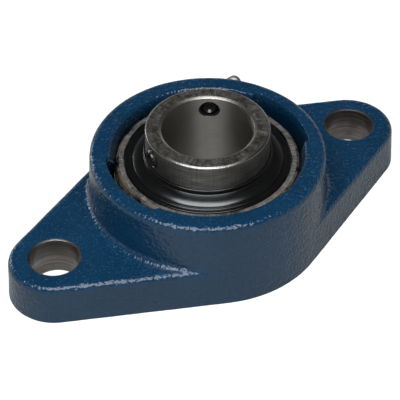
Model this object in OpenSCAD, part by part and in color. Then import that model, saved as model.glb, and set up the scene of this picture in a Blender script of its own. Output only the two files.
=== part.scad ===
// Two-bolt flange bearing unit: a cast housing with a self-aligning ball bearing insert.
// The insert's outer ring is a sphere that tilts in the housing's spherical seat.
// Origin: centre of the mounting face. X runs through both bolt holes, Z along the shaft.

/* [Housing] */
// Distance between the centres of the two bolt holes
bolt_spacing = 117; // [113:1:130]
// Radius of each rounded ear at the mounting face
ear_r = 15.5; // [13.5:0.5:18]
// Thickness of the mounting flange
flange_t = 14; // [11:0.5:16]
// Height of the housing above the mounting face
housing_h = 31; // [29.5:0.5:34]
// Height of the bearing centre above the mounting face
centre_z = 18; // [17:0.5:19.5]
// Wall of the boss at its rim, measured outside the spherical seat
boss_wall = 7.35; // [6.5:0.05:9]
// Casting draft of the outer walls, in degrees
draft = 3; // [1:0.5:5]
// Rounding of the casting's upper edges
edge_round = 1.6; // [0.6:0.1:2]
// Fillet where the boss stands on the flange
foot_fillet = 2.8; // [1:0.5:4]
// Diameter of the two bolt holes
bolt_hole_d = 16; // [12:0.5:18]
// Chamfer at both mouths of a bolt hole
bolt_hole_chamfer = 0.4; // [0.2:0.1:1]

/* [Pocket] */
// Radial clearance between the outer ring and its spherical seat
seat_gap = 0.03; // [0.02:0.01:0.1]
// Height of the spherical seat in front of the bearing centre
seat_front = 8.5; // [7:0.5:9.5]
// Widening of the pocket from the seat's front edge to its mouth
mouth_flare = 1.85; // [1:0.05:2.5]
// Rounding of the mouth's rim
mouth_round = 0.4; // [0.2:0.1:0.8]
// How much smaller in radius the rear opening is than the seat
rear_lip = 2; // [1:0.1:4]
// Width of each loading slot, through which the insert is put in edge-on
slot_w = 29.2; // [24:0.2:32]
// Depth of a loading slot behind the seat, at the mouth
slot_depth = 2.25; // [1.5:0.05:3]
// Depth of the slot's floor behind the bearing centre
slot_floor = 1; // [0.5:0.1:2]
// Width of the grease groove around the seat
groove_w = 6; // [4:0.5:8]
// Depth of the grease groove
groove_depth = 1.2; // [0.6:0.1:2]

/* [Insert rings] */
// Diameter of the spherical outer ring
outer_d = 62; // [60:0.1:64]
// Width of the outer ring
outer_w = 19; // [18.4:0.2:20]
// Diameter of the shaft bore
bore_d = 30; // [28:0.5:31]
// Length of the inner ring in front of the bearing centre
inner_front = 22.2; // [20:0.1:26]
// Length of the inner ring behind the bearing centre
inner_back = 15.9; // [14:0.1:16.5]
// Chamfer of the inner ring's ends
ring_chamfer = 0.5; // [0.3:0.1:0.8]
// Diameter of a ball, as a share of the space between the bore and the insert's outside
ball_share = 0.5953; // [0.565:0.005:0.615]
// Depth of both raceways below the shoulders beside them, as a share of the ball's diameter
race_share = 0.2; // [0.17:0.005:0.22]
// Raceway groove radius as a share of the ball's diameter
race_conformity = 0.52; // [0.515:0.005:0.54]
// Clearance between a ball and each raceway
ball_gap = 0.02; // [0.01:0.01:0.05]
// Distance of the outer ring's lubrication hole in front of its centre
lube_offset = 5.2; // [5:0.1:5.8]
// Diameter of the lubrication hole
lube_hole_d = 1.5; // [1:0.1:1.6]
// Width of the lubrication groove
lube_groove_w = 1.2; // [0.8:0.1:1.6]
// Depth of the lubrication groove
lube_groove_depth = 1; // [0.5:0.1:1.4]

/* [Cage] */
// Thickness of the pressed steel of the cage
cage_t = 0.8; // [0.6:0.1:1]
// Clearance between the cage's band and the shoulders of both rings
cage_gap = 0.8; // [0.6:0.05:1.1]
// Clearance between a ball and its cage pocket
pocket_gap = 0.1; // [0.05:0.05:0.2]
// Diameter of a cage rivet
rivet_d = 1.2; // [1:0.1:1.4]
// Diameter of a rivet's head
rivet_head_d = 2.2; // [1.8:0.1:2.4]
// Height of a rivet's head
rivet_head_h = 0.6; // [0.4:0.1:0.8]

/* [Seals and flingers] */
// Step from the outer ring's shoulder out to its seal recess
recess_step = 1.35; // [1.2:0.05:1.7]
// Depth of the seal recess
recess_depth = 2.6; // [2.4:0.1:2.8]
// Sheet thickness of the seal's steel carrier
carrier_t = 0.4; // [0.3:0.05:0.5]
// Height of the carrier's pressed rim
carrier_rim_h = 1.1; // [0.8:0.1:1.4]
// Distance of the carrier's inner edge from the inner ring
lip_reach = 1.6; // [1.2:0.1:2]
// Thickness of the rubber of the sealing lip
lip_t = 1; // [0.8:0.1:1.2]
// Clearance between a sealing lip and the inner ring
lip_gap = 0.05; // [0.03:0.01:0.1]
// Sheet thickness of a flinger
flinger_t = 0.7; // [0.5:0.05:0.8]
// Clearance between the rim of a flinger and the seal recess
flinger_gap = 0.35; // [0.25:0.05:0.6]
// Height of the flinger's collar in front of the outer ring's end face
flinger_collar = 3.7; // [2.8:0.1:3.8]
// Height of the flinger's crown in front of the outer ring's end face
flinger_crown = 1.3; // [1:0.1:1.6]
// Width of the flat crown, measured from the inner ring
flinger_crown_w = 2.9; // [2.4:0.1:3.2]
// Width of the flat rim at the flinger's outer edge
flinger_rim_w = 2; // [1.6:0.1:2.4]
// Height of the flinger's rim in front of the outer ring's end face
flinger_rim = 0.2; // [0:0.1:0.4]

/* [Set screws] */
// Diameter of a set screw
screw_d = 6; // [5:0.5:7]
// Length of a set screw
screw_len = 5.6; // [4.5:0.1:7]
// Width across the flats of the screw's hexagon socket
socket_af = 3; // [2.5:0.1:3.4]
// Depth of the hexagon socket
socket_depth = 2.7; // [2:0.1:3]
// Diameter of the rim of the screw's cup point
cup_d = 3.3; // [2.8:0.1:3.6]
// Distance of the screws from the front end of the inner ring
screw_inset = 5; // [4.6:0.1:5.8]
// Direction of the first set screw around the shaft, in degrees
screw_angle = 54; // [0:1:90]
// Angle between the two set screws
screw_spread = 120; // [90:1:180]
// Clearance between the screw and the wall of its hole
screw_gap = 0.05; // [0.03:0.01:0.1]
// Distance that the screw points stand back from the bore
screw_back = 0.4; // [0.2:0.1:0.8]
// Chamfer at both mouths of a tapped hole
screw_hole_chamfer = 0.4; // [0.2:0.05:0.6]

/* [Grease nipple] */
// Direction of the nipple around the shaft, in degrees
nipple_angle = 45; // [35:1:60]
// Distance of the nipple's axis in front of the bearing centre
nipple_offset = 3.5; // [2.5:0.1:4]
// Diameter of the nipple's thread
nipple_thread_d = 6; // [5:0.1:6.4]
// Width across the flats of the nipple's hexagon
nipple_af = 7; // [6.8:0.1:8]
// Height of the nipple's hexagon
nipple_hex_h = 3.5; // [2.5:0.1:4]
// Diameter of the nipple's coupling head
nipple_head_d = 6.5; // [6:0.1:6.8]
// Height of the nipple above its seat
nipple_h = 11; // [9.5:0.1:12]
// Depth of the spot face that the nipple seats on
spot_depth = 0.7; // [0.5:0.1:1]
// Diameter of the valve ball
valve_d = 2.2; // [2:0.1:2.4]

/* [Hidden] */
$fn = 96;

// Small length that lets a cut run past the face it opens
over = 0.5;
// Number of balls in the bearing
ball_count = 9;
// Clearance of a rivet in its hole
rivet_gap = 0.02;
// Small set-back of the straight flange sides, so that they cut the round walls cleanly
side_inset = 0.03;
// Extra rounding of a flange side, so that its edge crosses the ear's and doesn't run along it
side_round_extra = 0.1;
// Flats in the rounding of a straight flange side
round_steps = 6;
// Small step at both ends of the boss's foot fillet
foot_step = 0.05;
// How far the fillet's body is sunk into the boss and the flange
foot_sink = 1.5;
// How far the flare of the mouth runs on inside the spherical seat
flare_run = 3;
// How far a loading slot stands behind the seat at its floor
slot_entry = 0.2;
// Corner of the outer ring between its sphere and its end face
outer_corner = 0.3;
// Bevel of a rivet's head
rivet_bevel = 0.4;
// Width of the lip's running edge, and the radial length of its two bevels
lip_edge = 0.3;
lip_bevel = 0.5;
// How much nearer the shaft the underside of the flinger's slope lies than its top
slope_shift = 0.2;
// Cup point and end of a set screw
cup_depth = 0.7;
cup_rim = 0.3;
point_h = 1.35;
screw_chamfer = 0.4;
// Diameter of the passage from the nipple's thread into the grease groove
grease_passage_d = 3.4;
// Depth left between the end of the nipple's thread and the grease groove
thread_relief = 0.3;
// Room for a spanner between the nipple's hexagon and the wall of its spot face
spanner_room = 0.8;
// Bevel of the hexagon's corners, and how far outside the flats it starts
hex_bevel_w = 0.7;
hex_bevel_h = 0.4;
hex_bevel_in = 0.1;
// Coupling head: step over the neck, cone under it, band around it, taper and bevel of its nose
head_step = 1;
head_flank = 1;
head_band = 0.4;
nose_taper = 1.3;
nose_bevel = 0.3;
// Valve: side clearance in the channel, lap of the ball behind the mouth, clearance from its edge
valve_side_gap = 0.15;
valve_lap = 0.2;
valve_play = 0.03;

// Seat and casting
outer_r = outer_d / 2;
seat_r = outer_r + seat_gap;
boss_top_r = seat_r + boss_wall;
foot_r = boss_top_r + housing_h * tan(draft);
hole_x = bolt_spacing / 2;
// Angle from the X axis at which a straight flange side touches the central circle
side_angle = acos((foot_r - ear_r) / hole_x);
side_len = hole_x * sin(side_angle);
rear_r = seat_r - rear_lip;
seat_front_r = sqrt(pow(seat_r, 2) - pow(seat_front, 2));
mouth_r = seat_front_r + mouth_flare;

// Rolling elements and raceways
bore_r = bore_d / 2;
ball_d = ball_share * (outer_r - bore_r);
ball_r = ball_d / 2;
race_depth = race_share * ball_d;
// The balls run midway between the bore and the outside of the outer ring
pitch_r = (bore_r + outer_r) / 2;
race_r = race_conformity * ball_d;
inner_r = pitch_r - ball_r + race_depth;
shoulder_r = pitch_r + ball_r - race_depth;
outer_race_x = pitch_r + ball_r + ball_gap - race_r;
inner_race_x = pitch_r - ball_r - ball_gap + race_r;
half_w = outer_w / 2;
end_r = sqrt(pow(outer_r, 2) - pow(half_w, 2));
recess_r = shoulder_r + recess_step;
recess_z = half_w - recess_depth;
carrier_in_r = inner_r + lip_reach;
pocket_r = ball_r + pocket_gap;
cage_w = 2 * (ball_r - race_depth - cage_gap);
ball_step = 360 / ball_count;

// Nipple, along its own axis from the seat outwards
nipple_z = centre_z + nipple_offset;
boss_r_at_nipple = foot_r - nipple_z * tan(draft);
nipple_seat_r = boss_r_at_nipple - spot_depth;
nipple_neck_r = nipple_head_d / 2 - head_step;
spot_d = nipple_af / cos(30) + 2 * spanner_room;
nipple_thread_len = nipple_seat_r - seat_r - groove_depth - thread_relief;
nipple_channel_r = valve_d / 2 + valve_side_gap;
nipple_mouth_r = valve_d / 2 - valve_lap;
nipple_mouth_h = 0.7;
valve_z = nipple_h - nipple_mouth_h - sqrt(pow(valve_d / 2, 2) - pow(nipple_mouth_r, 2)) - valve_play;
spring_wire_r = 0.15;
// Clearance between the spring's coils and the channel
spring_side_gap = 0.1;
spring_turns = 6;
spring_len = 4.5;
// Clearance at both ends of the spring
spring_gap = 0.05;
spring_top_z = valve_z - valve_d / 2 - spring_wire_r - spring_gap;
spring_seat_z = spring_top_z - spring_len - spring_wire_r - spring_gap;

// Distance from the axis to the centre of a rounding between a leaning wall and a flat top
function round_x(r, h) = r - (edge_round + (h - edge_round) * sin(draft)) / cos(draft);

// Half section of a casting: a leaning wall of foot radius r, rounded into a flat top at height h
module cast_section(r, h) {
    x = round_x(r, h);
    y = h - edge_round;
    polygon([
        [0, 0], [r, 0],
        [x + edge_round * cos(draft), y + edge_round * sin(draft)],
        [x, y], [x, h], [0, h]
    ]);
    translate([x, y]) circle(r = edge_round);
}

// Moves the child to the bearing centre
module at_centre() {
    translate([0, 0, centre_z]) children();
}

// Puts the child on the nipple's axis, its own Z pointing outwards from the seat
module at_nipple() {
    rotate([0, 0, nipple_angle])
    translate([nipple_seat_r, 0, nipple_z])
    rotate([0, 90, 0])
    children();
}

// Revolves a profile about Z
module revolve(points) {
    rotate_extrude() polygon(points);
}

// One rounded ear of the flange, about its bolt hole
module ear() {
    translate([hole_x, 0, 0]) rotate_extrude() cast_section(ear_r, flange_t);
}

// One straight side of the flange, from an ear to the central circle
module flange_side() {
    e = edge_round + side_round_extra;
    y = flange_t - e;
    x = ear_r - (e + y * sin(draft)) / cos(draft);
    rounding = [for (i = [0:round_steps]) draft + (90 - draft) * i / round_steps];
    rotate([0, 0, side_angle])
    translate([foot_r - ear_r - side_inset, 0, 0])
    rotate([90, 0, 0])
    linear_extrude(height = side_len)
    polygon(concat(
        [[-over, 0], [ear_r, 0]],
        [for (a = rounding) [x + e * cos(a), y + e * sin(a)]],
        [[-over, flange_t]]
    ));
}

// Middle of the flange between its straight sides
module flange_core() {
    reach = foot_r - ear_r;
    linear_extrude(height = flange_t)
    polygon([
        [hole_x, 0],
        [reach * cos(side_angle), reach * sin(side_angle)],
        [-reach * cos(side_angle), reach * sin(side_angle)],
        [-hole_x, 0],
        [-reach * cos(side_angle), -reach * sin(side_angle)],
        [reach * cos(side_angle), -reach * sin(side_angle)]
    ]);
}

// Cylindrical boss around the pocket
module boss() {
    rotate_extrude() cast_section(foot_r, housing_h);
}

// Fillet at the boss's foot on each ear, kept inside the flat top of the flange
module boss_foot() {
    f = foot_fillet;
    top = flange_t + f + foot_step;
    x = foot_r + (f + foot_step - top * sin(draft)) / cos(draft);
    q = round_x(foot_r, flange_t);
    intersection() {
        rotate_extrude()
        difference() {
            translate([x - f - foot_sink, flange_t - foot_sink])
            square([f + foot_sink, f + foot_step + foot_sink]);
            translate([x, top]) circle(r = f);
        }
        for (turn = [0, 180]) rotate([0, 0, turn])
        linear_extrude(height = top)
        polygon([
            [0, 0],
            [q * cos(side_angle), q * sin(side_angle)],
            [q / cos(side_angle), 0],
            [q * cos(side_angle), -q * sin(side_angle)]
        ]);
    }
}

// Spherical seat with its rear opening and its flared mouth
module pocket() {
    rim_z = housing_h - mouth_round;
    flare = mouth_flare / (rim_z - centre_z - seat_front);
    at_centre() sphere(r = seat_r);
    translate([0, 0, -over]) cylinder(h = centre_z + over, r = rear_r);
    revolve([
        [0, centre_z + seat_front - flare_run],
        [seat_front_r - flare_run * flare, centre_z + seat_front - flare_run],
        [mouth_r, rim_z],
        [mouth_r + mouth_round, housing_h],
        [mouth_r + mouth_round, housing_h + over],
        [0, housing_h + over]
    ]);
}

// The two loading slots and the grease groove behind them
module slots_and_groove() {
    slot_z = centre_z - slot_floor;
    intersection() {
        revolve([
            [0, slot_z],
            [seat_r + slot_entry, slot_z],
            [seat_r + slot_depth, housing_h],
            [seat_r + slot_depth, housing_h + over],
            [0, housing_h + over]
        ]);
        translate([-foot_r, -slot_w / 2, 0])
        cube([2 * foot_r, slot_w, housing_h + 2 * over]);
    }
    translate([0, 0, nipple_z - groove_w / 2])
    cylinder(h = groove_w, r = seat_r + groove_depth);
}

module housing() {
    color([0.094, 0.227, 0.361])
    difference() {
        union() {
            boss();
            boss_foot();
            flange_core();
            for (turn = [0, 180]) rotate([0, 0, turn]) {
                ear();
                flange_side();
                mirror([0, 1, 0]) flange_side();
            }
        }
        pocket();
        slots_and_groove();
        for (side = [-1, 1]) translate([side * hole_x, 0, 0]) bolt_hole();
        at_nipple() {
            translate([0, 0, -nipple_seat_r / 2])
            cylinder(h = nipple_seat_r / 2, d = grease_passage_d);
            translate([0, 0, -nipple_thread_len])
            cylinder(h = nipple_thread_len + over, d = nipple_thread_d);
            cylinder(h = foot_r, d = spot_d);
        }
    }
}

// A plain bolt hole with a chamfer at both mouths
module bolt_hole() {
    r = bolt_hole_d / 2;
    c = bolt_hole_chamfer;
    revolve([
        [0, -over], [r + c + over, -over], [r, c],
        [r, flange_t - c], [r + c + over, flange_t + over], [0, flange_t + over]
    ]);
}

// Outer ring: spherical outside, one deep raceway, a seal recess in each end
module outer_ring() {
    past = outer_r + over;
    corner_z = half_w - (past - end_r + outer_corner);
    color([0.62, 0.60, 0.57])
    at_centre()
    difference() {
        intersection() {
            sphere(r = outer_r);
            revolve([
                [recess_r, -half_w], [end_r - outer_corner, -half_w], [past, -corner_z],
                [past, corner_z], [end_r - outer_corner, half_w], [recess_r, half_w],
                [recess_r, recess_z], [shoulder_r, recess_z],
                [shoulder_r, -recess_z], [recess_r, -recess_z]
            ]);
        }
        rotate_extrude() translate([outer_race_x, 0]) circle(r = race_r);
        // Lubrication groove around the sphere, and one hole through to the balls
        translate([0, 0, lube_offset])
        rotate_extrude()
        translate([outer_r, 0])
        square([2 * lube_groove_depth, lube_groove_w], center = true);
        rotate([0, 0, nipple_angle])
        translate([0, 0, lube_offset])
        rotate([0, 90, 0])
        cylinder(h = outer_r + over, d = lube_hole_d);
    }
}

// Long inner ring with the shaft bore, its raceway and two tapped holes
module inner_ring() {
    c = ring_chamfer;
    color([0.55, 0.54, 0.53])
    at_centre()
    difference() {
        revolve([
            [bore_r + c, -inner_back], [inner_r - c, -inner_back], [inner_r, -inner_back + c],
            [inner_r, inner_front - c], [inner_r - c, inner_front],
            [bore_r + c, inner_front], [bore_r, inner_front - c], [bore_r, -inner_back + c]
        ]);
        rotate_extrude() translate([inner_race_x, 0]) circle(r = race_r);
        for (i = [0, 1]) rotate([0, 0, screw_angle + i * screw_spread])
        translate([0, 0, inner_front - screw_inset])
        rotate([0, 90, 0])
        screw_hole();
    }
}

// Hole for a set screw, from the bore to the outside, chamfered at both mouths
module screw_hole() {
    r = screw_d / 2 + screw_gap;
    c = screw_hole_chamfer;
    revolve([
        [0, bore_r - over], [r + c + over, bore_r - over], [r, bore_r + c],
        [r, inner_r - c], [r + c + over, inner_r + over], [0, inner_r + over]
    ]);
}

module ball(i) {
    color([0.75, 0.75, 0.76])
    at_centre()
    rotate([0, 0, i * ball_step])
    translate([pitch_r, 0, 0])
    sphere(r = ball_r);
}

// One half of the ribbon cage: a flat band pressed into a pocket over each ball
module cage_half() {
    color([0.60, 0.55, 0.42])
    difference() {
        intersection() {
            difference() {
                cylinder(h = 2 * ball_r, r = pitch_r + cage_w / 2);
                translate([0, 0, -over]) cylinder(h = 2 * ball_r + 2 * over, r = pitch_r - cage_w / 2);
            }
            union() {
                cylinder(h = cage_t, r = pitch_r + cage_w);
                for (i = [0:ball_count - 1]) rotate([0, 0, i * ball_step]) translate([pitch_r, 0, 0])
                sphere(r = pocket_r + cage_t);
            }
        }
        for (i = [0:ball_count - 1]) rotate([0, 0, i * ball_step]) {
            translate([pitch_r, 0, 0]) sphere(r = pocket_r);
            rotate([0, 0, ball_step / 2])
            translate([pitch_r, 0, -over])
            cylinder(h = cage_t + 2 * over, r = rivet_d / 2 + rivet_gap);
        }
    }
}

module cage_front() {
    at_centre() cage_half();
}

module cage_back() {
    at_centre() mirror([0, 0, 1]) cage_half();
}

// Rivets between the pockets, with a low head on each side
module cage_rivets() {
    head = cage_t + rivet_head_h;
    color([0.70, 0.68, 0.62])
    at_centre()
    for (i = [0:ball_count - 1]) rotate([0, 0, (i + 0.5) * ball_step]) translate([pitch_r, 0, 0])
    revolve([
        [0, -head], [rivet_head_d / 2 - rivet_bevel, -head], [rivet_head_d / 2, -cage_t],
        [rivet_d / 2, -cage_t], [rivet_d / 2, cage_t],
        [rivet_head_d / 2, cage_t], [rivet_head_d / 2 - rivet_bevel, head], [0, head]
    ]);
}

// Steel carrier of a seal: its rim is pressed into the recess, its web carries the lip
module carrier() {
    rim_z = recess_z + carrier_rim_h;
    web_z = recess_z + carrier_t;
    revolve([
        [carrier_in_r, recess_z], [recess_r, recess_z], [recess_r, rim_z],
        [recess_r - carrier_t, rim_z], [recess_r - carrier_t, web_z], [carrier_in_r, web_z]
    ]);
}

// Rubber lip moulded around the carrier's inner edge, running on the inner ring
module lip() {
    edge_r = inner_r + lip_gap;
    middle = recess_z + carrier_t / 2;
    low = middle - lip_t / 2;
    high = middle + lip_t / 2;
    revolve([
        [edge_r, middle - lip_edge / 2], [edge_r + lip_bevel, low], [carrier_in_r, low],
        [carrier_in_r, high], [edge_r + lip_bevel, high], [edge_r, middle + lip_edge / 2]
    ]);
}

module seal_front_carrier() {
    color([0.35, 0.36, 0.38]) at_centre() carrier();
}

module seal_back_carrier() {
    color([0.35, 0.36, 0.38]) at_centre() mirror([0, 0, 1]) carrier();
}

module seal_front_lip() {
    color([0.10, 0.10, 0.10]) at_centre() lip();
}

module seal_back_lip() {
    color([0.10, 0.10, 0.10]) at_centre() mirror([0, 0, 1]) lip();
}

// Flinger: a pressed ring on the inner ring that turns in the mouth of the seal recess
module flinger() {
    t = flinger_t;
    rim_r = recess_r - flinger_gap;
    slope_in = inner_r + flinger_crown_w;
    slope_out = rim_r - flinger_rim_w;
    rim = half_w + flinger_rim;
    crown = half_w + flinger_crown;
    collar = half_w + flinger_collar;
    corner = t / 3;
    revolve([
        [inner_r, crown - t], [slope_in - slope_shift, crown - t], [slope_out - slope_shift, rim - t],
        [rim_r, rim - t], [rim_r, rim - corner], [rim_r - corner, rim],
        [slope_out, rim], [slope_in, crown],
        [inner_r + t + corner, crown], [inner_r + t, crown + corner],
        [inner_r + t, collar - corner], [inner_r + t - corner, collar], [inner_r, collar]
    ]);
}

module flinger_front() {
    color([0.07, 0.07, 0.08]) at_centre() flinger();
}

module flinger_back() {
    color([0.07, 0.07, 0.08]) at_centre() mirror([0, 0, 1]) flinger();
}

// Headless set screw with a hexagon socket and a cup point, lying along a radius
module set_screw(i) {
    r = screw_d / 2;
    cup_r = cup_d / 2;
    color([0.13, 0.13, 0.14])
    at_centre()
    rotate([0, 0, screw_angle + i * screw_spread])
    translate([bore_r + screw_back, 0, inner_front - screw_inset])
    rotate([0, 90, 0])
    difference() {
        revolve([
            [0, cup_depth], [cup_r - cup_depth, cup_depth], [cup_r, 0], [cup_r + cup_rim, 0], [r, point_h],
            [r, screw_len - screw_chamfer], [r - screw_chamfer, screw_len], [0, screw_len]
        ]);
        translate([0, 0, screw_len - socket_depth])
        cylinder(h = socket_depth + over, d = socket_af / cos(30), $fn = 6);
    }
}

// Grease nipple: thread, hexagon, neck and coupling head, bored through for the valve
module nipple_body() {
    head_r = nipple_head_d / 2;
    head_z = nipple_h - head_r;
    bevel_r = nipple_af / 2 + hex_bevel_in;
    color([0.62, 0.60, 0.52])
    at_nipple()
    difference() {
        union() {
            translate([0, 0, -nipple_thread_len]) cylinder(h = nipple_thread_len, d = nipple_thread_d);
            intersection() {
                cylinder(h = nipple_hex_h, d = nipple_af / cos(30), $fn = 6);
                revolve([
                    [0, 0], [bevel_r, 0], [bevel_r + hex_bevel_w, hex_bevel_h],
                    [bevel_r + hex_bevel_w, nipple_hex_h - hex_bevel_h],
                    [bevel_r, nipple_hex_h], [0, nipple_hex_h]
                ]);
            }
            revolve([
                [0, nipple_hex_h - over], [nipple_neck_r, nipple_hex_h - over],
                [nipple_neck_r, head_z - head_flank], [head_r, head_z], [head_r, head_z + head_band],
                [head_r - nose_taper, nipple_h - nose_bevel],
                [head_r - nose_taper - nose_bevel, nipple_h], [0, nipple_h]
            ]);
        }
        // Channel, with a narrower mouth that stops the valve ball
        translate([0, 0, -nipple_thread_len - over])
        cylinder(h = nipple_thread_len + nipple_h + 2 * over, r = nipple_mouth_r);
        translate([0, 0, spring_seat_z])
        cylinder(h = nipple_h - nipple_mouth_h - spring_seat_z, r = nipple_channel_r);
    }
}

module nipple_ball() {
    color([0.78, 0.78, 0.78])
    at_nipple()
    translate([0, 0, valve_z])
    sphere(d = valve_d);
}

// Helical spring behind the valve ball, swept as a closed tube
module nipple_spring() {
    ring_n = 6;
    steps = spring_turns * 12;
    coil_r = nipple_channel_r - spring_wire_r - spring_side_gap;
    function spring_point(i, j) =
        let (
            a = 360 * i * spring_turns / steps,
            b = 360 * j / ring_n,
            r = coil_r + spring_wire_r * cos(b),
            z = spring_top_z - spring_len * (1 - i / steps) + spring_wire_r * sin(b)
        )
        [r * cos(a), r * sin(a), z];
    color([0.7, 0.7, 0.7])
    at_nipple()
    polyhedron(
        points = [for (i = [0:steps]) for (j = [0:ring_n - 1]) spring_point(i, j)],
        faces = concat(
            [[for (j = [0:ring_n - 1]) j]],
            [for (i = [0:steps - 1]) for (j = [0:ring_n - 1])
                let (k = (j + 1) % ring_n)
                [i * ring_n + k, i * ring_n + j, (i + 1) * ring_n + j, (i + 1) * ring_n + k]],
            [[for (j = [ring_n - 1:-1:0]) steps * ring_n + j]]
        )
    );
}

housing();
outer_ring();
inner_ring();
ball(0);  // ball_1
ball(1);  // ball_2
ball(2);  // ball_3
ball(3);  // ball_4
ball(4);  // ball_5
ball(5);  // ball_6
ball(6);  // ball_7
ball(7);  // ball_8
ball(8);  // ball_9
cage_front();
cage_back();
cage_rivets();
seal_front_carrier();
seal_front_lip();
seal_back_carrier();
seal_back_lip();
flinger_front();
flinger_back();
set_screw(0);  // set_screw_1
set_screw(1);  // set_screw_2
nipple_body();
nipple_ball();
nipple_spring();
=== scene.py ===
# Two-bolt flange bearing for a 30 mm shaft: an oval cast-iron housing that holds a
# self-aligning ball bearing insert. Lengths are in metres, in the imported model's frame, and in
# millimetres only where a comment or in_mm says so.
from math import acos, asin, atan2, cos, pi, radians, sin, sqrt, tan

import bmesh
import bpy
import numpy as np
from mathutils import Matrix, Vector, noise


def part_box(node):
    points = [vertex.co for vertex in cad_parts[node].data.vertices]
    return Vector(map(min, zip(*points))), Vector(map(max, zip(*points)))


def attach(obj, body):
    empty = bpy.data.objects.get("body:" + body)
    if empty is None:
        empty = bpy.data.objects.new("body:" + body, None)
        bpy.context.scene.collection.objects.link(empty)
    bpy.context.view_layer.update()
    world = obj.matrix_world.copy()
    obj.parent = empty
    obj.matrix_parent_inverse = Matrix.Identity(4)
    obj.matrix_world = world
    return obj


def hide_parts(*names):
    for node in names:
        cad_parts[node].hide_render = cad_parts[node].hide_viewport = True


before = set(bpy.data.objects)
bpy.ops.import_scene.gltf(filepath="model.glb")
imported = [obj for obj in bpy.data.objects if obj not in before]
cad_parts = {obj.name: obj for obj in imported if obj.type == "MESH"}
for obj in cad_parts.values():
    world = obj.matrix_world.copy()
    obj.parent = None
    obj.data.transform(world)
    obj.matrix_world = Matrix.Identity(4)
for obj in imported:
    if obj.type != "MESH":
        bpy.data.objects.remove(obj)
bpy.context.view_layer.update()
mm = 0.001


# Camera.
# It stands where the photograph was taken from: 0.57 m away, 42 degrees above the floor and
# 34 degrees round to the left, with a long lens. Pixels are of the photograph's 400 by 400.
camera_turn = radians(-33.574)
camera_height = radians(42.294)
camera_roll = radians(-0.302)
camera_distance = 566.24 * mm
camera_target = Vector((-5.845, -4.496, 15)) * mm
focal_pixels = 1732.5
photo_pixels = 400
centre_pixel = (200.67, 199.92)

camera_data = bpy.data.cameras.new("camera")
camera = bpy.data.objects.new("camera", camera_data)
bpy.context.scene.collection.objects.link(camera)
bpy.context.scene.camera = camera
camera_data.sensor_width = 36
camera_data.lens = focal_pixels * camera_data.sensor_width / photo_pixels
camera_data.shift_x = (photo_pixels / 2 - centre_pixel[0]) / photo_pixels
camera_data.shift_y = (centre_pixel[1] - photo_pixels / 2) / photo_pixels
camera_data.clip_start = 0.05
camera_data.clip_end = 20
back = Vector((
    sin(camera_turn) * cos(camera_height),
    -cos(camera_turn) * cos(camera_height),
    sin(camera_height),
))
level = Vector((cos(camera_turn), sin(camera_turn), 0))
above = back.cross(level)
right = level * cos(camera_roll) + above * sin(camera_roll)
above = back.cross(right)
camera.matrix_world = Matrix.Translation(camera_target + back * camera_distance) @ Matrix(
    (right, above, back)
).transposed().to_4x4()


# Studio.
# A pale floor, a white surround, a wide softbox overhead and a low one behind. The surround
# darkens towards the ceiling, as in a studio, so that top faces keep their own colour.
scene = bpy.context.scene
scene.view_settings.view_transform = "Standard"


def add_node(tree, kind, **settings):
    """A new node with these settings, and with these values or links on its inputs."""
    node = tree.nodes.new(kind)
    inputs = settings.pop("inputs", {})
    for name, value in settings.items():
        setattr(node, name, value)
    for name, value in inputs.items():
        if hasattr(value, "is_output"):
            tree.links.new(value, node.inputs[name])
        else:
            node.inputs[name].default_value = value
    return node


def ramp(tree, value, *stops):
    """A colour ramp over value. Each stop is (place, grey) or (place, (r, g, b))."""
    node = add_node(tree, "ShaderNodeValToRGB", inputs={"Fac": value})
    while len(node.color_ramp.elements) < len(stops):
        node.color_ramp.elements.new(1)
    for element, (place, tone) in zip(node.color_ramp.elements, stops):
        element.position = place
        element.color = (*tone, 1) if hasattr(tone, "__len__") else (tone, tone, tone, 1)
    return node.outputs["Color"]


world = bpy.data.worlds.new("studio")
scene.world = world
world.use_nodes = True
sky = world.node_tree
sky.nodes.clear()
ray = add_node(sky, "ShaderNodeLightPath").outputs
direction = add_node(sky, "ShaderNodeTexCoord").outputs["Generated"]
height = add_node(sky, "ShaderNodeSeparateXYZ", inputs={0: direction}).outputs["Z"]
surround = add_node(sky, "ShaderNodeBackground", inputs={
    "Color": ramp(sky, height, (0.0, 1.0), (0.1, 0.6), (0.3, 0.12), (0.55, 0.035)), "Strength": 1,
})
white = add_node(sky, "ShaderNodeBackground", inputs={"Color": (1, 1, 1, 1), "Strength": 1})
fill = add_node(sky, "ShaderNodeBackground", inputs={"Color": (0.92, 0.96, 1, 1), "Strength": 0.18})
mirrored = add_node(sky, "ShaderNodeMath", operation="MAXIMUM", inputs={
    0: ray["Is Glossy Ray"], 1: ray["Is Transmission Ray"],
}).outputs[0]
reflected = add_node(sky, "ShaderNodeMixShader", inputs={
    0: mirrored, 1: fill.outputs[0], 2: surround.outputs[0],
})
seen = add_node(sky, "ShaderNodeMixShader", inputs={
    0: ray["Is Camera Ray"], 1: reflected.outputs[0], 2: white.outputs[0],
})
add_node(sky, "ShaderNodeOutputWorld", inputs={"Surface": seen.outputs[0]})


def softbox(name, place, width, height, watts, tone):
    """A rectangular studio lamp at place, facing the bearing's foot."""
    lamp = bpy.data.lights.new(name, "AREA")
    lamp.shape = "RECTANGLE"
    lamp.size, lamp.size_y = width, height
    lamp.energy = watts
    lamp.color = tone
    holder = bpy.data.objects.new(name, lamp)
    holder.location = place
    holder.rotation_euler = Vector(place).to_track_quat("Z", "Y").to_euler()
    scene.collection.objects.link(holder)


softbox("softbox_overhead", (-0.18, -0.2, 0.55), width=0.56, height=0.46, watts=4.6, tone=(0.91, 0.95, 1))
softbox("softbox_behind", (-0.3, 0.95, 0.2), width=0.4, height=0.25, watts=1.4, tone=(0.95, 0.97, 1))

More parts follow.
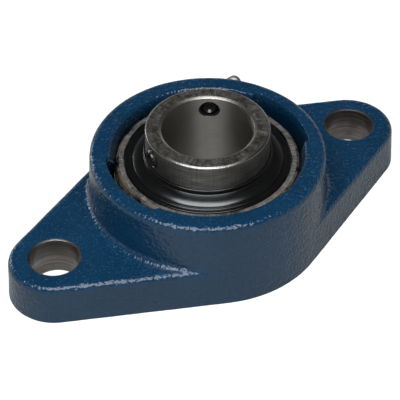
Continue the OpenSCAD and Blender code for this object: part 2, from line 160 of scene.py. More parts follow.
floor_mesh = bpy.data.meshes.new("floor")
floor_half = 3.0
floor_mesh.from_pydata(
    [(x * floor_half, y * floor_half, 0) for x, y in ((-1, -1), (1, -1), (1, 1), (-1, 1))],
    [], [(0, 1, 2, 3)],
)
floor = bpy.data.objects.new("floor", floor_mesh)
floor.location.z = -0.02 * mm
scene.collection.objects.link(floor)
floor_paint = bpy.data.materials.new("floor_white")
floor_paint.use_nodes = True
tree = floor_paint.node_tree
tree.nodes.clear()
# The camera sees a near-white floor with its shadow; the bearing mirrors the duller paper tone
paper = add_node(tree, "ShaderNodeBsdfDiffuse", inputs={"Color": (0.55, 0.53, 0.475, 1)})
glow = add_node(tree, "ShaderNodeEmission", inputs={"Color": (1, 1, 1, 1), "Strength": 0.9})
dim_paper = add_node(tree, "ShaderNodeBsdfDiffuse", inputs={"Color": (0.25, 0.25, 0.25, 1)})
lit = add_node(tree, "ShaderNodeAddShader", inputs={0: glow.outputs[0], 1: dim_paper.outputs[0]})
path = add_node(tree, "ShaderNodeLightPath").outputs
mix = add_node(tree, "ShaderNodeMixShader", inputs={
    0: path["Is Camera Ray"], 1: paper.outputs[0], 2: lit.outputs[0],
})
add_node(tree, "ShaderNodeOutputMaterial", inputs={"Surface": mix.outputs[0]})
floor_mesh.materials.append(floor_paint)


# Housing.
# One grey-iron sand casting, sprayed blue. Its seat, bolt holes, nipple seat and back face are
# machined bare afterwards; the rest keeps the sand's grain under the paint, edges too.
hole_x = 58.5 * mm
foot_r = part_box("housing")[1].y
ear_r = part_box("housing")[1].x - hole_x
housing_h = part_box("housing")[1].z
flange_t = 14 * mm
draft = radians(3)
edge_round = 2.0 * mm
foot_fillet = 2.0 * mm
fillet_fade = 2.5 * mm
centre_z = 18 * mm
seat_r = 31.03 * mm
rear_r = 29.03 * mm
seat_front_z = 26.5 * mm
seat_front_r = sqrt(seat_r**2 - (seat_front_z - centre_z) ** 2)
mouth_lean = 0.43
mouth_cosine = 0.92
mouth_round = 0.6 * mm
seat_edge_round = 0.3 * mm
overlap = 4 * mm
slot_half = 14.6 * mm
slot_floor_z = 17 * mm
slot_foot_r = 31.25 * mm
slot_top_z = 37 * mm
slot_lean = 0.145
slot_corner = 1 * mm
slot_edge_round = 0.2 * mm
hole_r = 8 * mm
skin_step = 0.5 * mm
skin_depth = 0.09 * mm
side_angle = acos((foot_r - ear_r) / hole_x)
nipple_turn = radians(45)
nipple_z = 21.5 * mm
nipple_seat_r = 38.18 * mm
nipple_bore_r = 3.02 * mm
spot_face_r = 4.84 * mm


def new_material(name):
    """An empty node material with a Principled shader: (material, tree, shader)."""
    material = bpy.data.materials.new(name)
    material.use_nodes = True
    material.node_tree.nodes.clear()
    shader = add_node(material.node_tree, "ShaderNodeBsdfPrincipled")
    add_node(material.node_tree, "ShaderNodeOutputMaterial", inputs={"Surface": shader.outputs[0]})
    return material, material.node_tree, shader


def object_place(tree, scale=(1, 1, 1)):
    """Object coordinates, stretched by scale."""
    place = add_node(tree, "ShaderNodeTexCoord").outputs["Object"]
    return add_node(tree, "ShaderNodeMapping", inputs={"Vector": place, "Scale": scale}).outputs[0]


def grain(tree, place, per_metre, detail=2.0, rough=0.5):
    """Noise with that many features per metre, from 0 to 1."""
    return add_node(tree, "ShaderNodeTexNoise", inputs={
        "Vector": place, "Scale": per_metre, "Detail": detail, "Roughness": rough,
    }).outputs["Fac"]


def mixed(tree, share, first, second):
    """A colour between first and second, which are inputs 6 and 7 of the Mix node."""
    node = add_node(tree, "ShaderNodeMix", data_type="RGBA")
    for index, value in ((0, share), (6, first), (7, second)):
        if hasattr(value, "is_output"):
            tree.links.new(value, node.inputs[index])
        else:
            node.inputs[index].default_value = value if index == 0 else (*value, 1)
    return node.outputs[2]


def rounded_inside(a, b, r):
    """Distance to what lies inside both a and b, with an edge of radius r."""
    a, b = a + r, b + r
    return np.minimum(np.maximum(a, b), 0) + np.hypot(np.maximum(a, 0), np.maximum(b, 0)) - r


def filleted_joint(a, b, r):
    """Distance to what lies inside a or b, with a fillet of radius r between them."""
    return np.maximum(r, np.minimum(a, b)) - np.hypot(np.maximum(r - a, 0), np.maximum(r - b, 0))


def flange_outline(x, y):
    """Distance from the flange's outline on the back face: an arc, a straight side and an ear."""
    x, y = np.abs(x), np.abs(y)
    along = x * sin(side_angle) - y * cos(side_angle)
    side = x * cos(side_angle) + y * sin(side_angle) - foot_r
    arc = np.hypot(x, y) - foot_r
    ear = np.hypot(x - hole_x, y) - ear_r
    return np.where(along < 0, arc, np.where(along < hole_x * sin(side_angle), side, ear))


def casting_distance(points):
    """Distance of points from the casting's skin before machining, below zero in the iron."""
    x, y, z = points.T
    r = np.hypot(x, y)
    lean = z * tan(draft)
    boss = rounded_inside((r - foot_r + lean) * cos(draft), z - housing_h, edge_round)
    flange = rounded_inside((flange_outline(x, y) + lean) * cos(draft), z - flange_t, edge_round)
    # The fillet fades where the ear's flat top runs out beside the boss
    shrink = (foot_r - flange_t * tan(draft)) / np.maximum(r, mm)
    flat = -flange_outline(x * shrink, y * shrink) - flange_t * tan(draft) - edge_round
    fade = np.clip(flat / fillet_fade, 0, 1)
    iron = filleted_joint(boss, flange, np.maximum(foot_fillet * fade**2 * (3 - 2 * fade), 1e-6))
    flare = (r - seat_front_r - (z - seat_front_z) * mouth_lean) * mouth_cosine
    flare = np.maximum(flare, seat_front_z - overlap - z)
    slot_end = r - slot_foot_r - (z - slot_floor_z) * slot_lean
    slot = rounded_inside(np.abs(y) - slot_half, slot_end, slot_corner)
    slot = np.maximum(slot, slot_floor_z - z)
    rounding = np.interp(z, (housing_h - 4 * mm, housing_h - 2 * mm), (seat_edge_round, mouth_round))
    rounding = np.where(np.abs(y) < slot_half + slot_corner, slot_edge_round, rounding)
    return rounded_inside(iron, -np.minimum(flare, slot), rounding)


def lathe(bm, profile, sides, turn=Matrix.Identity(4), ring=False):
    """Revolves a profile of (radius, height) about Z. A ring's profile closes on itself."""
    rings = []
    for r, z in profile:
        angles = [2 * pi * i / sides for i in range(sides if r > 1e-9 else 1)]
        rings.append([bm.verts.new(turn @ Vector((r * cos(a), r * sin(a), z))) for a in angles])
    for low, high in zip(rings, rings[1:] + rings[:1] if ring else rings[1:]):
        for i in range(sides):
            j = i + 1
            corners = (low[i % len(low)], low[j % len(low)], high[j % len(high)], high[i % len(high)])
            bm.faces.new(list(dict.fromkeys(corners)))


def new_object(name, bm, *materials):
    """Turns a bmesh into an object of the scene."""
    bmesh.ops.recalc_face_normals(bm, faces=bm.faces)
    mesh = bpy.data.meshes.new(name)
    bm.to_mesh(mesh)
    bm.free()
    for material in materials:
        mesh.materials.append(material)
    made = bpy.data.objects.new(name, mesh)
    scene.collection.objects.link(made)
    return made


def apply_modifier(made):
    """Replaces an object's mesh by what its modifier makes of it."""
    old = made.data
    shown = made.evaluated_get(bpy.context.evaluated_depsgraph_get())
    made.data = bpy.data.meshes.new_from_object(shown)
    made.modifiers.clear()
    bpy.data.meshes.remove(old)


def remesh(made, step):
    """Covers an object with an even skin of squares of that size."""
    modifier = made.modifiers.new("skin", "REMESH")
    modifier.mode = "VOXEL"
    modifier.voxel_size = step
    apply_modifier(made)


def cut(made, tool, operation="DIFFERENCE"):
    """Cuts a closed tool out of an object. The cut faces take the tool's material."""
    modifier = made.modifiers.new("cut", "BOOLEAN")
    modifier.operation = operation
    modifier.object = tool
    modifier.solver = "MANIFOLD"
    modifier.material_mode = "TRANSFER"
    apply_modifier(made)
    bpy.data.meshes.remove(tool.data)


def smooth_shaded(made, limit=35):
    """Shades an object smooth, and keeps edges sharper than limit degrees."""
    made.data.shade_smooth()
    made.data.set_sharp_from_angle(angle=radians(limit))


def sphere_arc(r, low, high, steps):
    """Points of a circle about the bearing's centre, between two heights."""
    start, end = (asin((z - centre_z) / r) for z in (low, high))
    turns = [start + (end - start) * i / steps for i in range(steps + 1)]
    return [(r * cos(turn), centre_z + r * sin(turn)) for turn in turns]


paint, tree, shader = new_material("blue_enamel_on_casting")
place = object_place(tree)
cloud = grain(tree, place, 60, 3)
peel = grain(tree, place, 850, 1, 0.5)
relief = ramp(tree, peel, (0.36, 0.0), (0.66, 1.0))
# Single grains of sand stand up through the paint, in patches and most on faces that look up; their tips
# are also painted a lighter blue as painted glints
cells = add_node(tree, "ShaderNodeTexVoronoi", inputs={"Vector": place, "Scale": 2300}).outputs
sandy = ramp(tree, grain(tree, place, 70, 3), (0.34, 0.3), (0.56, 1.0))
chosen = ramp(tree, cells["Color"], (0.66, 0.0), (0.72, 1.0))
chosen = mixed(tree, sandy, (0, 0, 0), chosen)
upward = add_node(tree, "ShaderNodeTexCoord").outputs["Normal"]
upward = add_node(tree, "ShaderNodeSeparateXYZ", inputs={0: upward}).outputs["Z"]
chosen = mixed(tree, ramp(tree, upward, (0.3, 0.12), (0.9, 1.0)), (0, 0, 0), chosen)
sand_grains_and_painted_glints = mixed(tree, chosen, (0, 0, 0), ramp(tree, cells["Distance"], (0.0, 1.0), (0.5, 0.0)))
at = add_node(tree, "ShaderNodeSeparateXYZ", inputs={0: place}).outputs
reach = add_node(tree, "ShaderNodeVectorMath", operation="LENGTH", inputs={
    0: add_node(tree, "ShaderNodeCombineXYZ", inputs={0: at["X"], 1: at["Y"]}).outputs[0],
}).outputs["Value"]
# Painted shade: round the insert and low down, the paint is painted far darker, where little light
# reaches
low_down = ramp(tree, at["Z"], (28.5 * mm, 1.0), (30.5 * mm, 0.0))
near_insert = ramp(tree, reach, (33.4 * mm, 1.0), (34.2 * mm, 0.0))
painted_pocket_shade = mixed(tree, low_down, (0, 0, 0), near_insert)
clouded = ramp(tree, cloud, (0.35, 0.0), (0.65, 1.0))
tint = mixed(tree, clouded, (0.0024, 0.031, 0.075), (0.0034, 0.037, 0.087))
# Painted shade: the hollows of the orange peel are painted darker
tint = mixed(tree, ramp(tree, peel, (0.34, 0.2), (0.5, 0.0)), tint, (0.001, 0.012, 0.03))
# Painted glints: the tips of the sand grains are painted a lighter blue
tint = mixed(tree, sand_grains_and_painted_glints, tint, (0.05, 0.15, 0.26))
# Painted shade round the insert
tint = mixed(tree, painted_pocket_shade, tint, (0.0003, 0.004, 0.009))
tree.links.new(tint, shader.inputs["Base Color"])
shader.inputs["IOR"].default_value = 1.5
shader.inputs["Specular IOR Level"].default_value = 0.56
tree.links.new(ramp(tree, peel, (0.3, 0.23), (0.7, 0.16)), shader.inputs["Roughness"])
skin = add_node(tree, "ShaderNodeBump", inputs={"Strength": 1.0, "Distance": 0.12 * mm, "Height": relief})
glints = add_node(tree, "ShaderNodeBump", inputs={
    "Strength": 1.0, "Distance": 0.05 * mm, "Height": sand_grains_and_painted_glints, "Normal": skin.outputs[0],
})
tree.links.new(glints.outputs[0], shader.inputs["Normal"])

machined, tree, shader = new_material("machined_grey_iron")
shader.inputs["Metallic"].default_value = 1
tool_marks = grain(tree, object_place(tree, (40, 40, 1500)), 1, 3)
stain = grain(tree, object_place(tree), 250, 3)
turned = ramp(tree, tool_marks, (0.4, 0.0), (0.6, 1.0))
iron = mixed(tree, turned, (0.165, 0.156, 0.152), (0.28, 0.27, 0.28))
iron = mixed(tree, ramp(tree, stain, (0.45, 0.0), (0.7, 0.8)), iron, (0.18, 0.14, 0.115))
tree.links.new(iron, shader.inputs["Base Color"])
tree.links.new(ramp(tree, stain, (0.3, 0.28), (0.7, 0.42)), shader.inputs["Roughness"])
bump = add_node(tree, "ShaderNodeBump", inputs={
    "Strength": 1.0, "Distance": 0.03 * mm, "Height": tool_marks,
})
tree.links.new(bump.outputs[0], shader.inputs["Normal"])

# A rough blank: a drafted boss and a flange, melted into one skin
bm = bmesh.new()
below = 2 * mm
lathe(bm, [
    (0, -below), (foot_r, -below), (foot_r - housing_h * tan(draft), housing_h), (0, housing_h),
], sides=96)
belt = []
arc_steps = 16
for turn in (0, pi):
    for centre, radius, start, end in (
        (hole_x, ear_r, -side_angle, side_angle), (0, foot_r, side_angle, pi - side_angle),
    ):
        for i in range(arc_steps + 1):
            a = start + (end - start) * i / arc_steps + turn
            belt.append((centre * cos(turn) + radius * cos(a), centre * sin(turn) + radius * sin(a)))
low = [bm.verts.new((x, y, -below)) for x, y in belt]
high = [bm.verts.new((x * 0.99, y * 0.98, flange_t)) for x, y in belt]
bm.faces.new(low)
bm.faces.new(high)
for i in range(len(belt)):
    bm.faces.new((low[i - 1], low[i], high[i], high[i - 1]))
casting = new_object("housing_casting", bm, paint)
remesh(casting, 1.2 * mm)

# The two loading slots and the flared mouth are cut into the blank
bm = bmesh.new()
lathe(bm, [
    (0, slot_floor_z), (slot_foot_r, slot_floor_z),
    (slot_foot_r + (slot_top_z - slot_floor_z) * slot_lean, slot_top_z), (0, slot_top_z),
], sides=96)
for side in (-1, 1):
    spare = bmesh.ops.bisect_plane(
        bm, geom=bm.verts[:] + bm.edges[:] + bm.faces[:], plane_co=(0, side * slot_half, 0),
        plane_no=(0, side, 0), clear_outer=True,
    )["geom_cut"]
    bmesh.ops.contextual_create(bm, geom=[e for e in spare if isinstance(e, bmesh.types.BMEdge)])
cut(casting, new_object("slots", bm, paint))
bm = bmesh.new()
rim_z = housing_h + overlap
flare_z = seat_front_z - overlap
lathe(bm, [
    (0, flare_z), (seat_front_r - overlap * mouth_lean, flare_z),
    (seat_front_r + (rim_z - seat_front_z) * mouth_lean, rim_z), (0, rim_z),
], sides=96)
cut(casting, new_object("flare", bm, paint))
remesh(casting, skin_step)

# Every point of the skin goes to the exact form in four steps, and then sinks a little in lumps,
# as the sand left it. Near the seat it sinks least, so that the ring's opening stays round.
mesh = casting.data
points = np.empty(len(mesh.vertices) * 3)
mesh.vertices.foreach_get("co", points)
points = points.reshape(-1, 3)
small = 0.02 * mm
for step_number in range(4):
    slope = np.stack([
        (casting_distance(points + step) - casting_distance(points - step)) / (2 * small)
        for step in np.eye(3) * small
    ], axis=1)
    steep = np.maximum((slope**2).sum(axis=1), 0.25)
    points -= np.clip(casting_distance(points) / steep, -skin_step, skin_step)[:, None] * slope
normal = slope / np.sqrt(steep)[:, None]
lumps = np.array([
    0.7 * noise.noise(Vector(p) / (9 * mm)) + 0.5 * noise.noise(Vector(p) / (2.6 * mm))
    for p in points
])
sink = np.clip(0.6 - lumps, 0, 2) * skin_depth
sink *= np.clip(np.hypot(*points.T[:2]) / mm - 31, 0.15, 1)
points -= normal * sink[:, None]
mesh.vertices.foreach_set("co", points.ravel())
mesh.update()

# The back is faced flat
bm = bmesh.new()
bm.from_mesh(mesh)
bmesh.ops.bisect_plane(
    bm, geom=bm.verts[:] + bm.edges[:] + bm.faces[:], plane_co=(0, 0, 0),
    plane_no=(0, 0, -1), clear_outer=True,
)
edge = [e for e in bm.edges if e.is_boundary]
for face in bmesh.ops.contextual_create(bm, geom=edge)["faces"]:
    face.material_index = 1
bm.to_mesh(mesh)
bm.free()
mesh.materials.append(machined)

# Bolt holes with their chamfers, then the seat with its grease groove, then the nipple's seat
bm = bmesh.new()
chamfer, chamfer_w = 0.35 * mm, 0.7 * mm
for x in (-hole_x, hole_x):
    lathe(bm, [
        (0, -chamfer), (hole_r + 2 * chamfer_w, -chamfer), (hole_r, chamfer),
        (hole_r, flange_t - chamfer), (hole_r + 3 * chamfer_w, flange_t + 2 * chamfer),
        (0, flange_t + 2 * chamfer),
    ], sides=96, turn=Matrix.Translation((x, 0, 0)))
groove_low, groove_high, groove_r = 18.5 * mm, 24.5 * mm, seat_r + 1.2 * mm
rear_z = centre_z - sqrt(seat_r**2 - rear_r**2)
seat_end_z = seat_front_z + 0.6 * mm
seat = [(0, -mm), (rear_r + 1.5 * mm, -mm), (rear_r, 0.5 * mm)]
seat += sphere_arc(seat_r, rear_z, groove_low, 14)
seat += [(groove_r, groove_low), (groove_r, groove_high)]
seat += sphere_arc(seat_r, groove_high, seat_front_z, 3)
seat += [(seat_front_r - mm, seat_end_z), (0, seat_end_z)]
lathe(bm, seat, sides=144)
cut(casting, new_object("boring_tools", bm, machined))


def sideways(angle, z, reach=0):
    """A frame at height z whose Z axis points outward at that angle, from that far out."""
    foot = Matrix.Rotation(angle, 4, "Z") @ Matrix.Translation((reach, 0, z))
    return foot @ Matrix.Rotation(pi / 2, 4, "Y")


bm = bmesh.new()
nipple_axis = sideways(nipple_turn, nipple_z)
clear_r = 46 * mm
lathe(bm, [
    (0, seat_r - mm), (nipple_bore_r, seat_r - mm), (nipple_bore_r, nipple_seat_r),
    (spot_face_r, nipple_seat_r), (spot_face_r, clear_r), (0, clear_r),
], sides=64, turn=nipple_axis)
cut(casting, new_object("spot_facer", bm, machined))
smooth_shaded(casting)
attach(casting, "housing")
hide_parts("housing")


# Inner ring.
# A long ring of hardened bearing steel, ground in the bore and outside, with turned ends that have
# darkened in store. Revolved with its corners rounded, then drilled for two set screws.
bore_r = 15 * mm
inner_ring_r = 20.143 * mm
inner_low, inner_high = 2.1 * mm, 40.2 * mm
chamfer_in, chamfer_drop = 0.7 * mm, 0.36 * mm
race_groove_r = 4.953 * mm
race_axis_r = 23.17 * mm
screw_z = 35.2 * mm
below_screws_z = screw_z - 5 * mm
screw_turns = (radians(54), radians(174))


def rounded_profile(corners, steps=6):
    """The points of a closed profile of (radius, height, rounding) corners, rounded by arcs."""
    points = []
    for before, here, after in zip(corners[-1:] + corners[:-1], corners, corners[1:] + corners[:1]):
        corner, rounding = Vector(here[:2]), here[2]
        if not rounding:
            points.append(here[:2])
            continue
        into = (Vector(before[:2]) - corner).normalized()
        out = (Vector(after[:2]) - corner).normalized()
        half = into.angle(out) / 2
        centre = corner + (into + out).normalized() * rounding / sin(half)
        start = (corner + into * rounding / tan(half) - centre).normalized()
        end = (corner + out * rounding / tan(half) - centre).normalized()
        points += [tuple(centre + start.slerp(end, i / steps) * rounding) for i in range(steps + 1)]
    return points


def in_mm(points):
    """Millimetres to metres, for rows of numbers."""
    return [tuple(value * mm for value in point) for point in points]


def ring_steel(name, side_stain=0.0, side_rough=0.44, anisotropic=0.0, bore_painted_light=0.0, painted_brightening=1.0):
    """Ground steel round the Z axis. Its end faces are stained like an old lathe cut."""
    material, tree, shader = new_material(name)
    coords = add_node(tree, "ShaderNodeTexCoord").outputs
    at = add_node(tree, "ShaderNodeSeparateXYZ", inputs={0: coords["Object"]}).outputs
    flat = add_node(tree, "ShaderNodeSeparateXYZ", inputs={0: coords["Normal"]}).outputs["Z"]
    flat = add_node(tree, "ShaderNodeMath", operation="ABSOLUTE", inputs={0: flat}).outputs[0]
    end_face = ramp(tree, flat, (0.86, 0.0), (0.97, 1.0))
    angle = add_node(tree, "ShaderNodeMath", operation="ARCTAN2", inputs={
        0: at["Y"], 1: at["X"],
    }).outputs[0]
    reach = add_node(tree, "ShaderNodeVectorMath", operation="LENGTH", inputs={
        0: add_node(tree, "ShaderNodeCombineXYZ", inputs={0: at["X"], 1: at["Y"]}).outputs[0],
    }).outputs["Value"]
    polar = add_node(tree, "ShaderNodeCombineXYZ", inputs={0: angle, 1: reach, 2: at["Z"]}).outputs[0]

    def stretched(*scale):
        """The place by angle, radius and height, stretched by scale."""
        return add_node(tree, "ShaderNodeMapping", inputs={"Vector": polar, "Scale": scale}).outputs[0]

    lines = grain(tree, stretched(3, 2600, 2600), 1, 3)
    scratches = grain(tree, stretched(75, 60, 60), 1, 2)
    blotches = grain(tree, stretched(5, 420, 160), 1, 5, 0.7)
    streaks = grain(tree, stretched(70, 260, 260), 1, 3, 0.6)
    dark, light = (
        tuple(painted_brightening * tone for tone in steel) for steel in ((0.11, 0.107, 0.10), (0.20, 0.195, 0.185))
    )
    side = mixed(tree, ramp(tree, lines, (0.36, 0.0), (0.64, 1.0)), dark, light)
    side = mixed(tree, ramp(tree, scratches, (0.42, 0.0), (0.62, 0.5)), side, (0.09, 0.085, 0.08))
    # Painted light: the bore is painted lighter, standing in for the light that bounces about inside it
    painted_bore_light = ramp(tree, reach, (16.5 * mm, bore_painted_light), (18 * mm, 0.0))
    side = mixed(tree, painted_bore_light, side, (0.43, 0.40, 0.355))
    first_stain, full_stain = 0.62 - side_stain, 0.80 - side_stain
    stain = ramp(tree, blotches, (first_stain, 0.0), (full_stain, 0.85))
    side = mixed(tree, stain, side, (0.20, 0.155, 0.11))
    cuts = ramp(tree, streaks, (0.36, 0.0), (0.66, 1.0))
    end = mixed(tree, cuts, (0.22, 0.21, 0.19), (0.58, 0.57, 0.54))
    end = mixed(tree, ramp(tree, blotches, (0.46, 0.0), (0.62, 0.85)), end, (0.12, 0.08, 0.052))
    tree.links.new(mixed(tree, end_face, side, end), shader.inputs["Base Color"])
    bare = ramp(tree, blotches, (first_stain, 1.0), (full_stain, 0.35))
    tree.links.new(bare, shader.inputs["Metallic"])
    side_shine = ramp(tree, lines, (0.3, side_rough * 0.9), (0.7, side_rough * 1.1))
    end_shine = ramp(tree, streaks, (0.3, 0.36), (0.7, 0.5))
    tree.links.new(mixed(tree, end_face, side_shine, end_shine), shader.inputs["Roughness"])
    shader.inputs["Anisotropic"].default_value = anisotropic
    shader.inputs["Anisotropic Rotation"].default_value = 0.25
    tangent = add_node(tree, "ShaderNodeTangent", direction_type="RADIAL", axis="Z").outputs[0]
    tree.links.new(tangent, shader.inputs["Tangent"])
    bump = add_node(tree, "ShaderNodeBump", inputs={
        "Strength": 1.0, "Distance": 0.006 * mm, "Height": lines,
    })
    tree.links.new(bump.outputs[0], shader.inputs["Normal"])
    return material


inner_side = ring_steel("ground_inner_ring_steel", anisotropic=0.9, bore_painted_light=0.6)
inner_end = ring_steel("turned_inner_ring_ends")
# Painted highlight: the rounded edges take a brighter copy of the ring steel, so that their highlights
# show stronger
inner_edge = ring_steel("polished_inner_ring_edges_painted_brighter", side_rough=0.27, bore_painted_light=1.0, painted_brightening=2.3)

# The screws' own finish. It also goes on the walls of their tapped holes as painted shade, to darken them
black_oxide_and_painted_hole_shade, tree, shader = new_material("black_oxide_steel_and_painted_hole_shade")
shader.inputs["Base Color"].default_value = (0.012, 0.012, 0.013, 1)
shader.inputs["IOR"].default_value = 1.7
oxide = grain(tree, object_place(tree), 900, 3)
tree.links.new(ramp(tree, oxide, (0.3, 0.2), (0.7, 0.34)), shader.inputs["Roughness"])

race_half = sqrt(race_groove_r**2 - (race_axis_r - inner_ring_r) ** 2)
race_turn = asin(race_half / race_groove_r)
race = [
    (race_axis_r - race_groove_r * cos(turn), centre_z + race_groove_r * sin(turn), 0)
    for turn in (race_turn * (1 - i / 8) for i in range(17))
]
bm = bmesh.new()
lathe(bm, rounded_profile([
    (bore_r, inner_low, 0.4 * mm), (bore_r, below_screws_z, 0),
    (bore_r, inner_high - 1.3 * chamfer_drop, 0.15 * mm),
    (bore_r + 1.3 * chamfer_in, inner_high, 0.3 * mm),
    (inner_ring_r - chamfer_in, inner_high, 0.3 * mm),
    (inner_ring_r, inner_high - chamfer_drop, 0.4 * mm), (inner_ring_r, below_screws_z, 0),
] + race + [(inner_ring_r, inner_low, 0.5 * mm)]), sides=192, ring=True)
inner_ring = new_object("inner_ring_ground", bm, inner_side, inner_end, inner_edge)
# The flat ends are turned, the rounded corners beside them polished and painted brighter as a painted
# highlight, and the rest ground
for face in inner_ring.data.polygons:
    tipped = abs(face.normal.z)
    face.material_index = 1 if tipped > 0.98 else 2 if tipped > 0.1 else 0
# The tapped holes go through the ring's wall, countersunk at both ends
tapped_hole = in_mm([(0, 13), (5.1, 13), (3.03, 15.07), (3.03, 19.85), (5.2, 22), (0, 22)])
bm = bmesh.new()
for turn in screw_turns:
    lathe(bm, tapped_hole, sides=64, turn=sideways(turn, screw_z))
# Painted shade: the drilled walls take the screws' dark finish
cut(inner_ring, new_object("screw_drills", bm, black_oxide_and_painted_hole_shade))
smooth_shaded(inner_ring)
# The bore and the outside are shaded exactly round, so that the drilled holes leave no streaks.
# A zero vector leaves a corner its usual shading.
mesh = inner_ring.data
normals = [Vector()] * len(mesh.loops)
for face in mesh.polygons:
    for index in face.loop_indices:
        point = mesh.vertices[mesh.loops[index].vertex_index].co
        off_ground = min(abs(point.xy.length - bore_r), abs(point.xy.length - inner_ring_r))
        outward = Vector((point.x, point.y, 0)).normalized()
        facing = face.normal.dot(outward)
        if off_ground < 0.01 * mm and abs(face.normal.z) < 0.02 and abs(facing) > 0.99:
            normals[index] = outward if facing > 0 else -outward
mesh.normals_split_custom_set(normals)
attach(inner_ring, "inner_ring")
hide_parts("inner_ring")


# Outer ring.
# Its outside is a ground sphere that tilts in the housing. Storage oil has browned it where a
# loading slot lets one look down at it. Revolved with its raceway, seal recesses and oil groove.
outer_r = 31 * mm
half_w = 9.5 * mm
end_r = sqrt(outer_r**2 - half_w**2)
recess_r, recess_z = 27.2075 * mm, 6.9 * mm
shoulder_r = 25.8575 * mm
race_out_r = 22.83 * mm
corner_in, corner_drop, corner_round = 0.6 * mm, 0.5 * mm, 0.8 * mm
oil_low, oil_high, oil_depth = 4.6 * mm, 5.8 * mm, 1 * mm
below_oil = sphere_arc(outer_r, centre_z - half_w + corner_drop, centre_z + oil_low, 20)
above_oil = sphere_arc(outer_r, centre_z + oil_high, centre_z + half_w - corner_drop, 6)
oil_groove = [(r - oil_depth, z) for r, z in (below_oil[-1], above_oil[0])]
outside = below_oil + oil_groove + above_oil
race_turn = acos((shoulder_r - race_out_r) / race_groove_r)
race = [
    (race_out_r + race_groove_r * cos(turn), centre_z + race_groove_r * sin(turn), 0)
    for turn in (race_turn * (1 - i / 8) for i in range(17))
]
bm = bmesh.new()
lathe(bm, rounded_profile([(r, z, 0) for r, z in outside] + [
    (end_r - corner_in, centre_z + half_w, corner_round), (recess_r, centre_z + half_w, 0.4 * mm),
    (recess_r, centre_z + recess_z, 0), (shoulder_r, centre_z + recess_z, 0),
] + race + [
    (shoulder_r, centre_z - recess_z, 0), (recess_r, centre_z - recess_z, 0),
    (recess_r, centre_z - half_w, 0.4 * mm), (end_r - corner_in, centre_z - half_w, corner_round),
]), sides=192, ring=True)
browned = ring_steel("browned_outer_ring_steel", side_stain=0.2, side_rough=0.26)
outer_ring = new_object("outer_ring_ground", bm, browned)
smooth_shaded(outer_ring)
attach(outer_ring, "outer_ring")
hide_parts("outer_ring")


# Flingers.
# Pressed sheet-steel discs, blackened, pushed on the inner ring before and behind the seals: a
# collar, a gently domed crown, a short steep step and a flat rim, of one thickness.

# Sizes of the pressing in millimetres, with heights from the bearing's centre
flinger_t = 0.55
collar_in_r, collar_out_r, collar_top = 20.16, 20.84, 13.3
dome_r, dome_out, dome_z = 8.23, 20.0, 3.33
flinger_rim_r, rim_under = 26.8, 8.95
collar = [(collar_in_r, collar_top, 0), (collar_out_r, collar_top, 0.25), (collar_out_r, 11.6, 0.1)]
dome = [
    (dome_out + dome_r * sin(radians(turn)), dome_z + dome_r * cos(radians(turn)), 0)
    for turn in range(7, 35, 3)
]
rim = [
    (24.9, 9.6, 0.1), (25.3, 9.6, 0.08), (25.55, 9.47, 0.08), (flinger_rim_r, 9.42, 0.2),
    (flinger_rim_r, rim_under, 0.15), (24.4, rim_under, 0),
]
under = [(r - 0.12, z - flinger_t, 0) for r, z, rounding in reversed(dome)]
pressing = rounded_profile(collar + dome + rim + under + [(collar_in_r, 10.9, 0)], 4)
gloss_black, tree, shader = new_material("gloss_black_sheet")
shader.inputs["Base Color"].default_value = (0.002, 0.002, 0.002, 1)
shader.inputs["IOR"].default_value = 1.8
smear = grain(tree, object_place(tree), 160, 4, 0.6)
tree.links.new(ramp(tree, smear, (0.3, 0.19), (0.7, 0.26)), shader.inputs["Roughness"])
for name, side in (("flinger_front", 1), ("flinger_back", -1)):
    bm = bmesh.new()
    lathe(bm, [(r * mm, centre_z + side * z * mm) for r, z in pressing], sides=192, ring=True)
    flinger = new_object(name + "_pressed", bm, gloss_black)
    smooth_shaded(flinger)
    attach(flinger, "inner_ring")
    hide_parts(name)


# Set screws.
# Two M6 cup-point screws of blackened alloy steel with hexagon sockets, screwed in radially.
# Revolved with a real helical thread, then the socket is cut.
thread_pitch = 1 * mm
thread_depth = 0.55 * mm
screw_length = 5.6 * mm
screw_start = 15.4 * mm
screw_r = 3 * mm
socket_depth = 2.7 * mm
socket_r = 1.5 * mm / cos(radians(30))


def thread_reach(angle, z):
    """Radius of an M6 thread at that angle and height."""
    flank = abs(2 * ((z / thread_pitch - angle / (2 * pi)) % 1) - 1)
    return screw_r - 0.04 * mm - thread_depth * min(max(1.3 * flank - 0.15, 0), 1)


def threaded(bm, profile, sides, turn):
    """Revolves a profile, with no point further out than the thread."""
    start = len(bm.verts)
    lathe(bm, profile, sides)
    bm.verts.ensure_lookup_table()
    for vert in bm.verts[start:]:
        r = vert.co.xy.length
        if r > 1e-6:
            vert.co.xy *= min(1, thread_reach(atan2(vert.co.y, vert.co.x), vert.co.z) / r)
        vert.co = turn @ vert.co


for number, angle in enumerate(screw_turns, 1):
    at_screw = sideways(angle, screw_z, screw_start)
    cup = in_mm([(0, 0.7), (0.95, 0.7), (1.65, 0), (1.95, 0)])
    thread = [(screw_r, 1.35 * mm + i * mm / 10) for i in range(39)]
    top = [(screw_r - 0.4 * mm, screw_length), (0, screw_length)]
    bm = bmesh.new()
    threaded(bm, cup + thread + top, 64, at_screw)
    screw = new_object(f"set_screw_{number}_threaded", bm, black_oxide_and_painted_hole_shade)
    bm = bmesh.new()
    socket_z = screw_length - socket_depth
    lathe(bm, [
        (0, socket_z - 0.6 * mm), (socket_r, socket_z), (socket_r, screw_length + mm),
        (0, screw_length + mm),
    ], sides=6, turn=at_screw)
    cut(screw, new_object("hexagon_key", bm, black_oxide_and_painted_hole_shade))
    smooth_shaded(screw, 30)
    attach(screw, f"set_screw_{number}")
    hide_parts(f"set_screw_{number}")


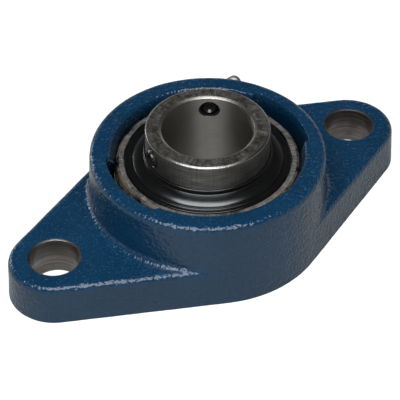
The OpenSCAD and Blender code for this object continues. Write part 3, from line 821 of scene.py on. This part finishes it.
# Grease nipple.
# A plated steel nipple screwed into the boss: hexagon, neck and a coupling head with a spring
# valve behind its mouth. Turned on a lathe from hexagon bar, and modelled the same way.
def paint_node(name, material):
    """Gives a CAD node's object that material."""
    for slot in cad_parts[name].material_slots:
        slot.material = material


plating, tree, shader = new_material("zinc_plated_steel")
shader.inputs["Metallic"].default_value = 1
dull = grain(tree, object_place(tree), 700, 3)
zinc = mixed(tree, ramp(tree, dull, (0.35, 0.0), (0.65, 1.0)), (0.22, 0.21, 0.20), (0.36, 0.345, 0.33))
tree.links.new(zinc, shader.inputs["Base Color"])
tree.links.new(ramp(tree, dull, (0.3, 0.42), (0.7, 0.56)), shader.inputs["Roughness"])

# Sizes of the nipple in millimetres, with heights from its seat on the boss
hexagon_h = 3.5
hexagon_r = 3.5 / cos(radians(30))
nipple_h = 11
thread_r, thread_end = 3, -5.6
neck_r, head_r, mouth_r = 2.25, 3.25, 1.5
channel_r, valve_r = 0.9, 1.25
at_nipple = nipple_axis @ Matrix.Translation((0, 0, nipple_seat_r))
bm = bmesh.new()
lathe(bm, in_mm([
    (0, 0), (hexagon_r, 0), (hexagon_r, hexagon_h), (0, hexagon_h),
]), sides=6, turn=at_nipple)
nipple = new_object("nipple_body_turned", bm, plating)
bm = bmesh.new()
lathe(bm, in_mm([
    (0, -0.1), (3.5, -0.1), (4.3, 0.35), (4.3, hexagon_h - 0.4), (3.6, hexagon_h), (0, hexagon_h),
]), sides=96, turn=at_nipple)
cut(nipple, new_object("bevels", bm, plating), "INTERSECT")
bm = bmesh.new()
lathe(bm, in_mm(rounded_profile([
    (0, thread_end, 0), (2.6, thread_end, 0), (thread_r, -5.2, 0), (thread_r, 0.2, 0),
    (neck_r, 0.2, 0), (neck_r, nipple_h - 4.25, 0.4), (head_r, nipple_h - 3.25, 0.3),
    (head_r, nipple_h - 2.85, 0.8), (2.0, nipple_h - 0.4, 0.6), (mouth_r, nipple_h, 0.3),
    (0, nipple_h, 0),
])), sides=96, turn=at_nipple)
cut(nipple, new_object("head", bm, plating), "UNION")
bm = bmesh.new()
lathe(bm, in_mm([
    (0, -6), (channel_r, -6), (channel_r, 3.64), (valve_r, 3.64), (valve_r, nipple_h - 0.7),
    (channel_r, nipple_h - 0.7), (channel_r, nipple_h - 0.1), (1.1, nipple_h + 0.1),
    (0, nipple_h + 0.1),
]), sides=48, turn=at_nipple)
cut(nipple, new_object("channel", bm, plating))
smooth_shaded(nipple, 30)
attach(nipple, "housing")
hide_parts("nipple_body")
paint_node("nipple_spring", plating)


# Seals, cage and balls.
# These hide behind the flingers: moulded rubber on pressed steel carriers, a ribbon cage of two
# riveted halves, and polished balls. The CAD solids are true, so they only need materials.
def plain_finish(name, colour, metallic, roughness):
    """A finish with one colour and a slightly uneven shine."""
    material, tree, shader = new_material(name)
    shader.inputs["Base Color"].default_value = (*colour, 1)
    shader.inputs["Metallic"].default_value = metallic
    mottle = grain(tree, object_place(tree), 500, 2)
    uneven = ramp(tree, mottle, (0.3, roughness * 0.85), (0.7, roughness * 1.15))
    tree.links.new(uneven, shader.inputs["Roughness"])
    return material


rubber = plain_finish("moulded_seal_rubber", (0.02, 0.02, 0.02), 0.0, 0.6)
carrier = plain_finish("pressed_carrier_steel", (0.3, 0.3, 0.32), 1.0, 0.35)
ribbon = plain_finish("pressed_cage_steel", (0.5, 0.47, 0.4), 1.0, 0.35)
polished = plain_finish("polished_ball_steel", (0.6, 0.6, 0.6), 1.0, 0.08)
for side in ("front", "back"):
    paint_node(f"seal_{side}_lip", rubber)
    paint_node(f"seal_{side}_carrier", carrier)
    paint_node(f"cage_{side}", ribbon)
paint_node("cage_rivets", ribbon)
for number in range(1, 10):
    paint_node(f"ball_{number}", polished)
paint_node("nipple_ball", polished)
